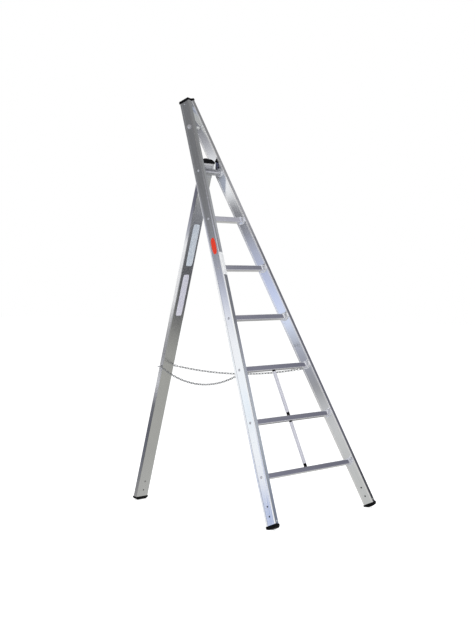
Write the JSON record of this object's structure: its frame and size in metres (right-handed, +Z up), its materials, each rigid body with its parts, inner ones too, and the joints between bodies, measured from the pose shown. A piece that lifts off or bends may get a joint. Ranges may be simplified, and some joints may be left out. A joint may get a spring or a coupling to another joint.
{
  "type": "tripod orchard ladder",
  "caption": "Free-standing aluminium orchard ladder: converging stiles with square rungs, a flat hinged rear leg that folds flat, and slack chains that limit its spread.",
  "frame": {"origin": "on the ground, at the middle of the footprint of the two stile feet and the leg foot", "axes": "+X to the right seen from the front, +Y from the climbing frame to the rear leg, +Z up"},
  "size_m": [0.9664, 1.2559, 2.2111],
  "materials": {
    "stile": "mill finish with a faint draw grain along the extrusion",
    "rung": "mill finish extrusion with a grooved tread",
    "leg": "mill finish with a faint draw grain along the extrusion",
    "stay": "drawn tube",
    "socket": "bright turned face",
    "fitting": "satin",
    "fastener": "zinc plated",
    "chain": "zinc plated",
    "plug": "moulded, fine texture"
  },
  "bodies": {
    "climbing_frame": {"left_stile": "stile", "right_stile": "stile", "rung_1": "rung", "rung_2": "rung", "rung_3": "rung", "rung_4": "rung", "rung_5": "rung", "rung_6": "rung", "rung_7": "rung", "left_rung_sockets": "socket", "right_rung_sockets": "socket", "left_rung_bolts": "fastener", "right_rung_bolts": "fastener", "left_foot": "plug", "right_foot": "plug", "foot_screws": "fastener", "left_top_cap": "plug", "right_top_cap": "plug", "cap_rivets": "fastener", "tie_spacer": "fitting", "tie_washers": "fastener", "tie_bolt": "fastener", "tie_nut": "fastener", "upper_stay": "stay", "lower_stay": "stay", "stay_bushes": "plug", "left_chain_eye": "fastener", "right_chain_eye": "fastener", "hinge_spacers": "fitting"},
    "rear_leg": {"leg_tube": "leg", "leg_foot": "plug", "leg_top_plug": "plug", "hinge_knuckle": "fitting", "knuckle_screws": "fastener", "leg_cross_bolt": "fastener", "leg_chain_eyes": "fastener"},
    "left_chain_front_half": {"left_chain_front": "chain"},
    "left_chain_rear_half": {"left_chain_rear": "chain"},
    "right_chain_front_half": {"right_chain_front": "chain"},
    "right_chain_rear_half": {"right_chain_rear": "chain"}
  },
  "joints": [
    {"name": "leg_fold", "type": "hinge", "parent": "climbing_frame", "child": "rear_leg", "pos_m": [0, 0.12649, 1.80245], "axis": [-1, 0, 0], "range_deg": [0, 36.2], "deforming": ["left_chain_front", "left_chain_rear", "right_chain_front", "right_chain_rear"]},
    {"name": "left_chain_front_swing", "type": "hinge", "parent": "climbing_frame", "child": "left_chain_front_half", "pos_m": [-0.2841, -0.26527, 0.74177], "axis": [-1, 0, 0], "range_deg": [0, 44]},
    {"name": "left_chain_rear_swing", "type": "hinge", "parent": "rear_leg", "child": "left_chain_rear_half", "pos_m": [-0.063, 0.41594, 0.74938], "axis": [1, 0, 0], "range_deg": [0, 147]},
    {"name": "right_chain_front_swing", "type": "hinge", "parent": "climbing_frame", "child": "right_chain_front_half", "pos_m": [0.2841, -0.26527, 0.74177], "axis": [-1, 0, 0], "range_deg": [0, 50]},
    {"name": "right_chain_rear_swing", "type": "hinge", "parent": "rear_leg", "child": "right_chain_rear_half", "pos_m": [0.063, 0.41594, 0.74938], "axis": [1, 0, 0], "range_deg": [0, 153]}
  ],
  "couplings": [
    {"joint": "left_chain_front_swing", "follows": "leg_fold", "ratio": 1.1663},
    {"joint": "left_chain_rear_swing", "follows": "leg_fold", "ratio": 4.0158},
    {"joint": "right_chain_front_swing", "follows": "leg_fold", "ratio": 1.3317},
    {"joint": "right_chain_rear_swing", "follows": "leg_fold", "ratio": 4.1911}
  ]
}
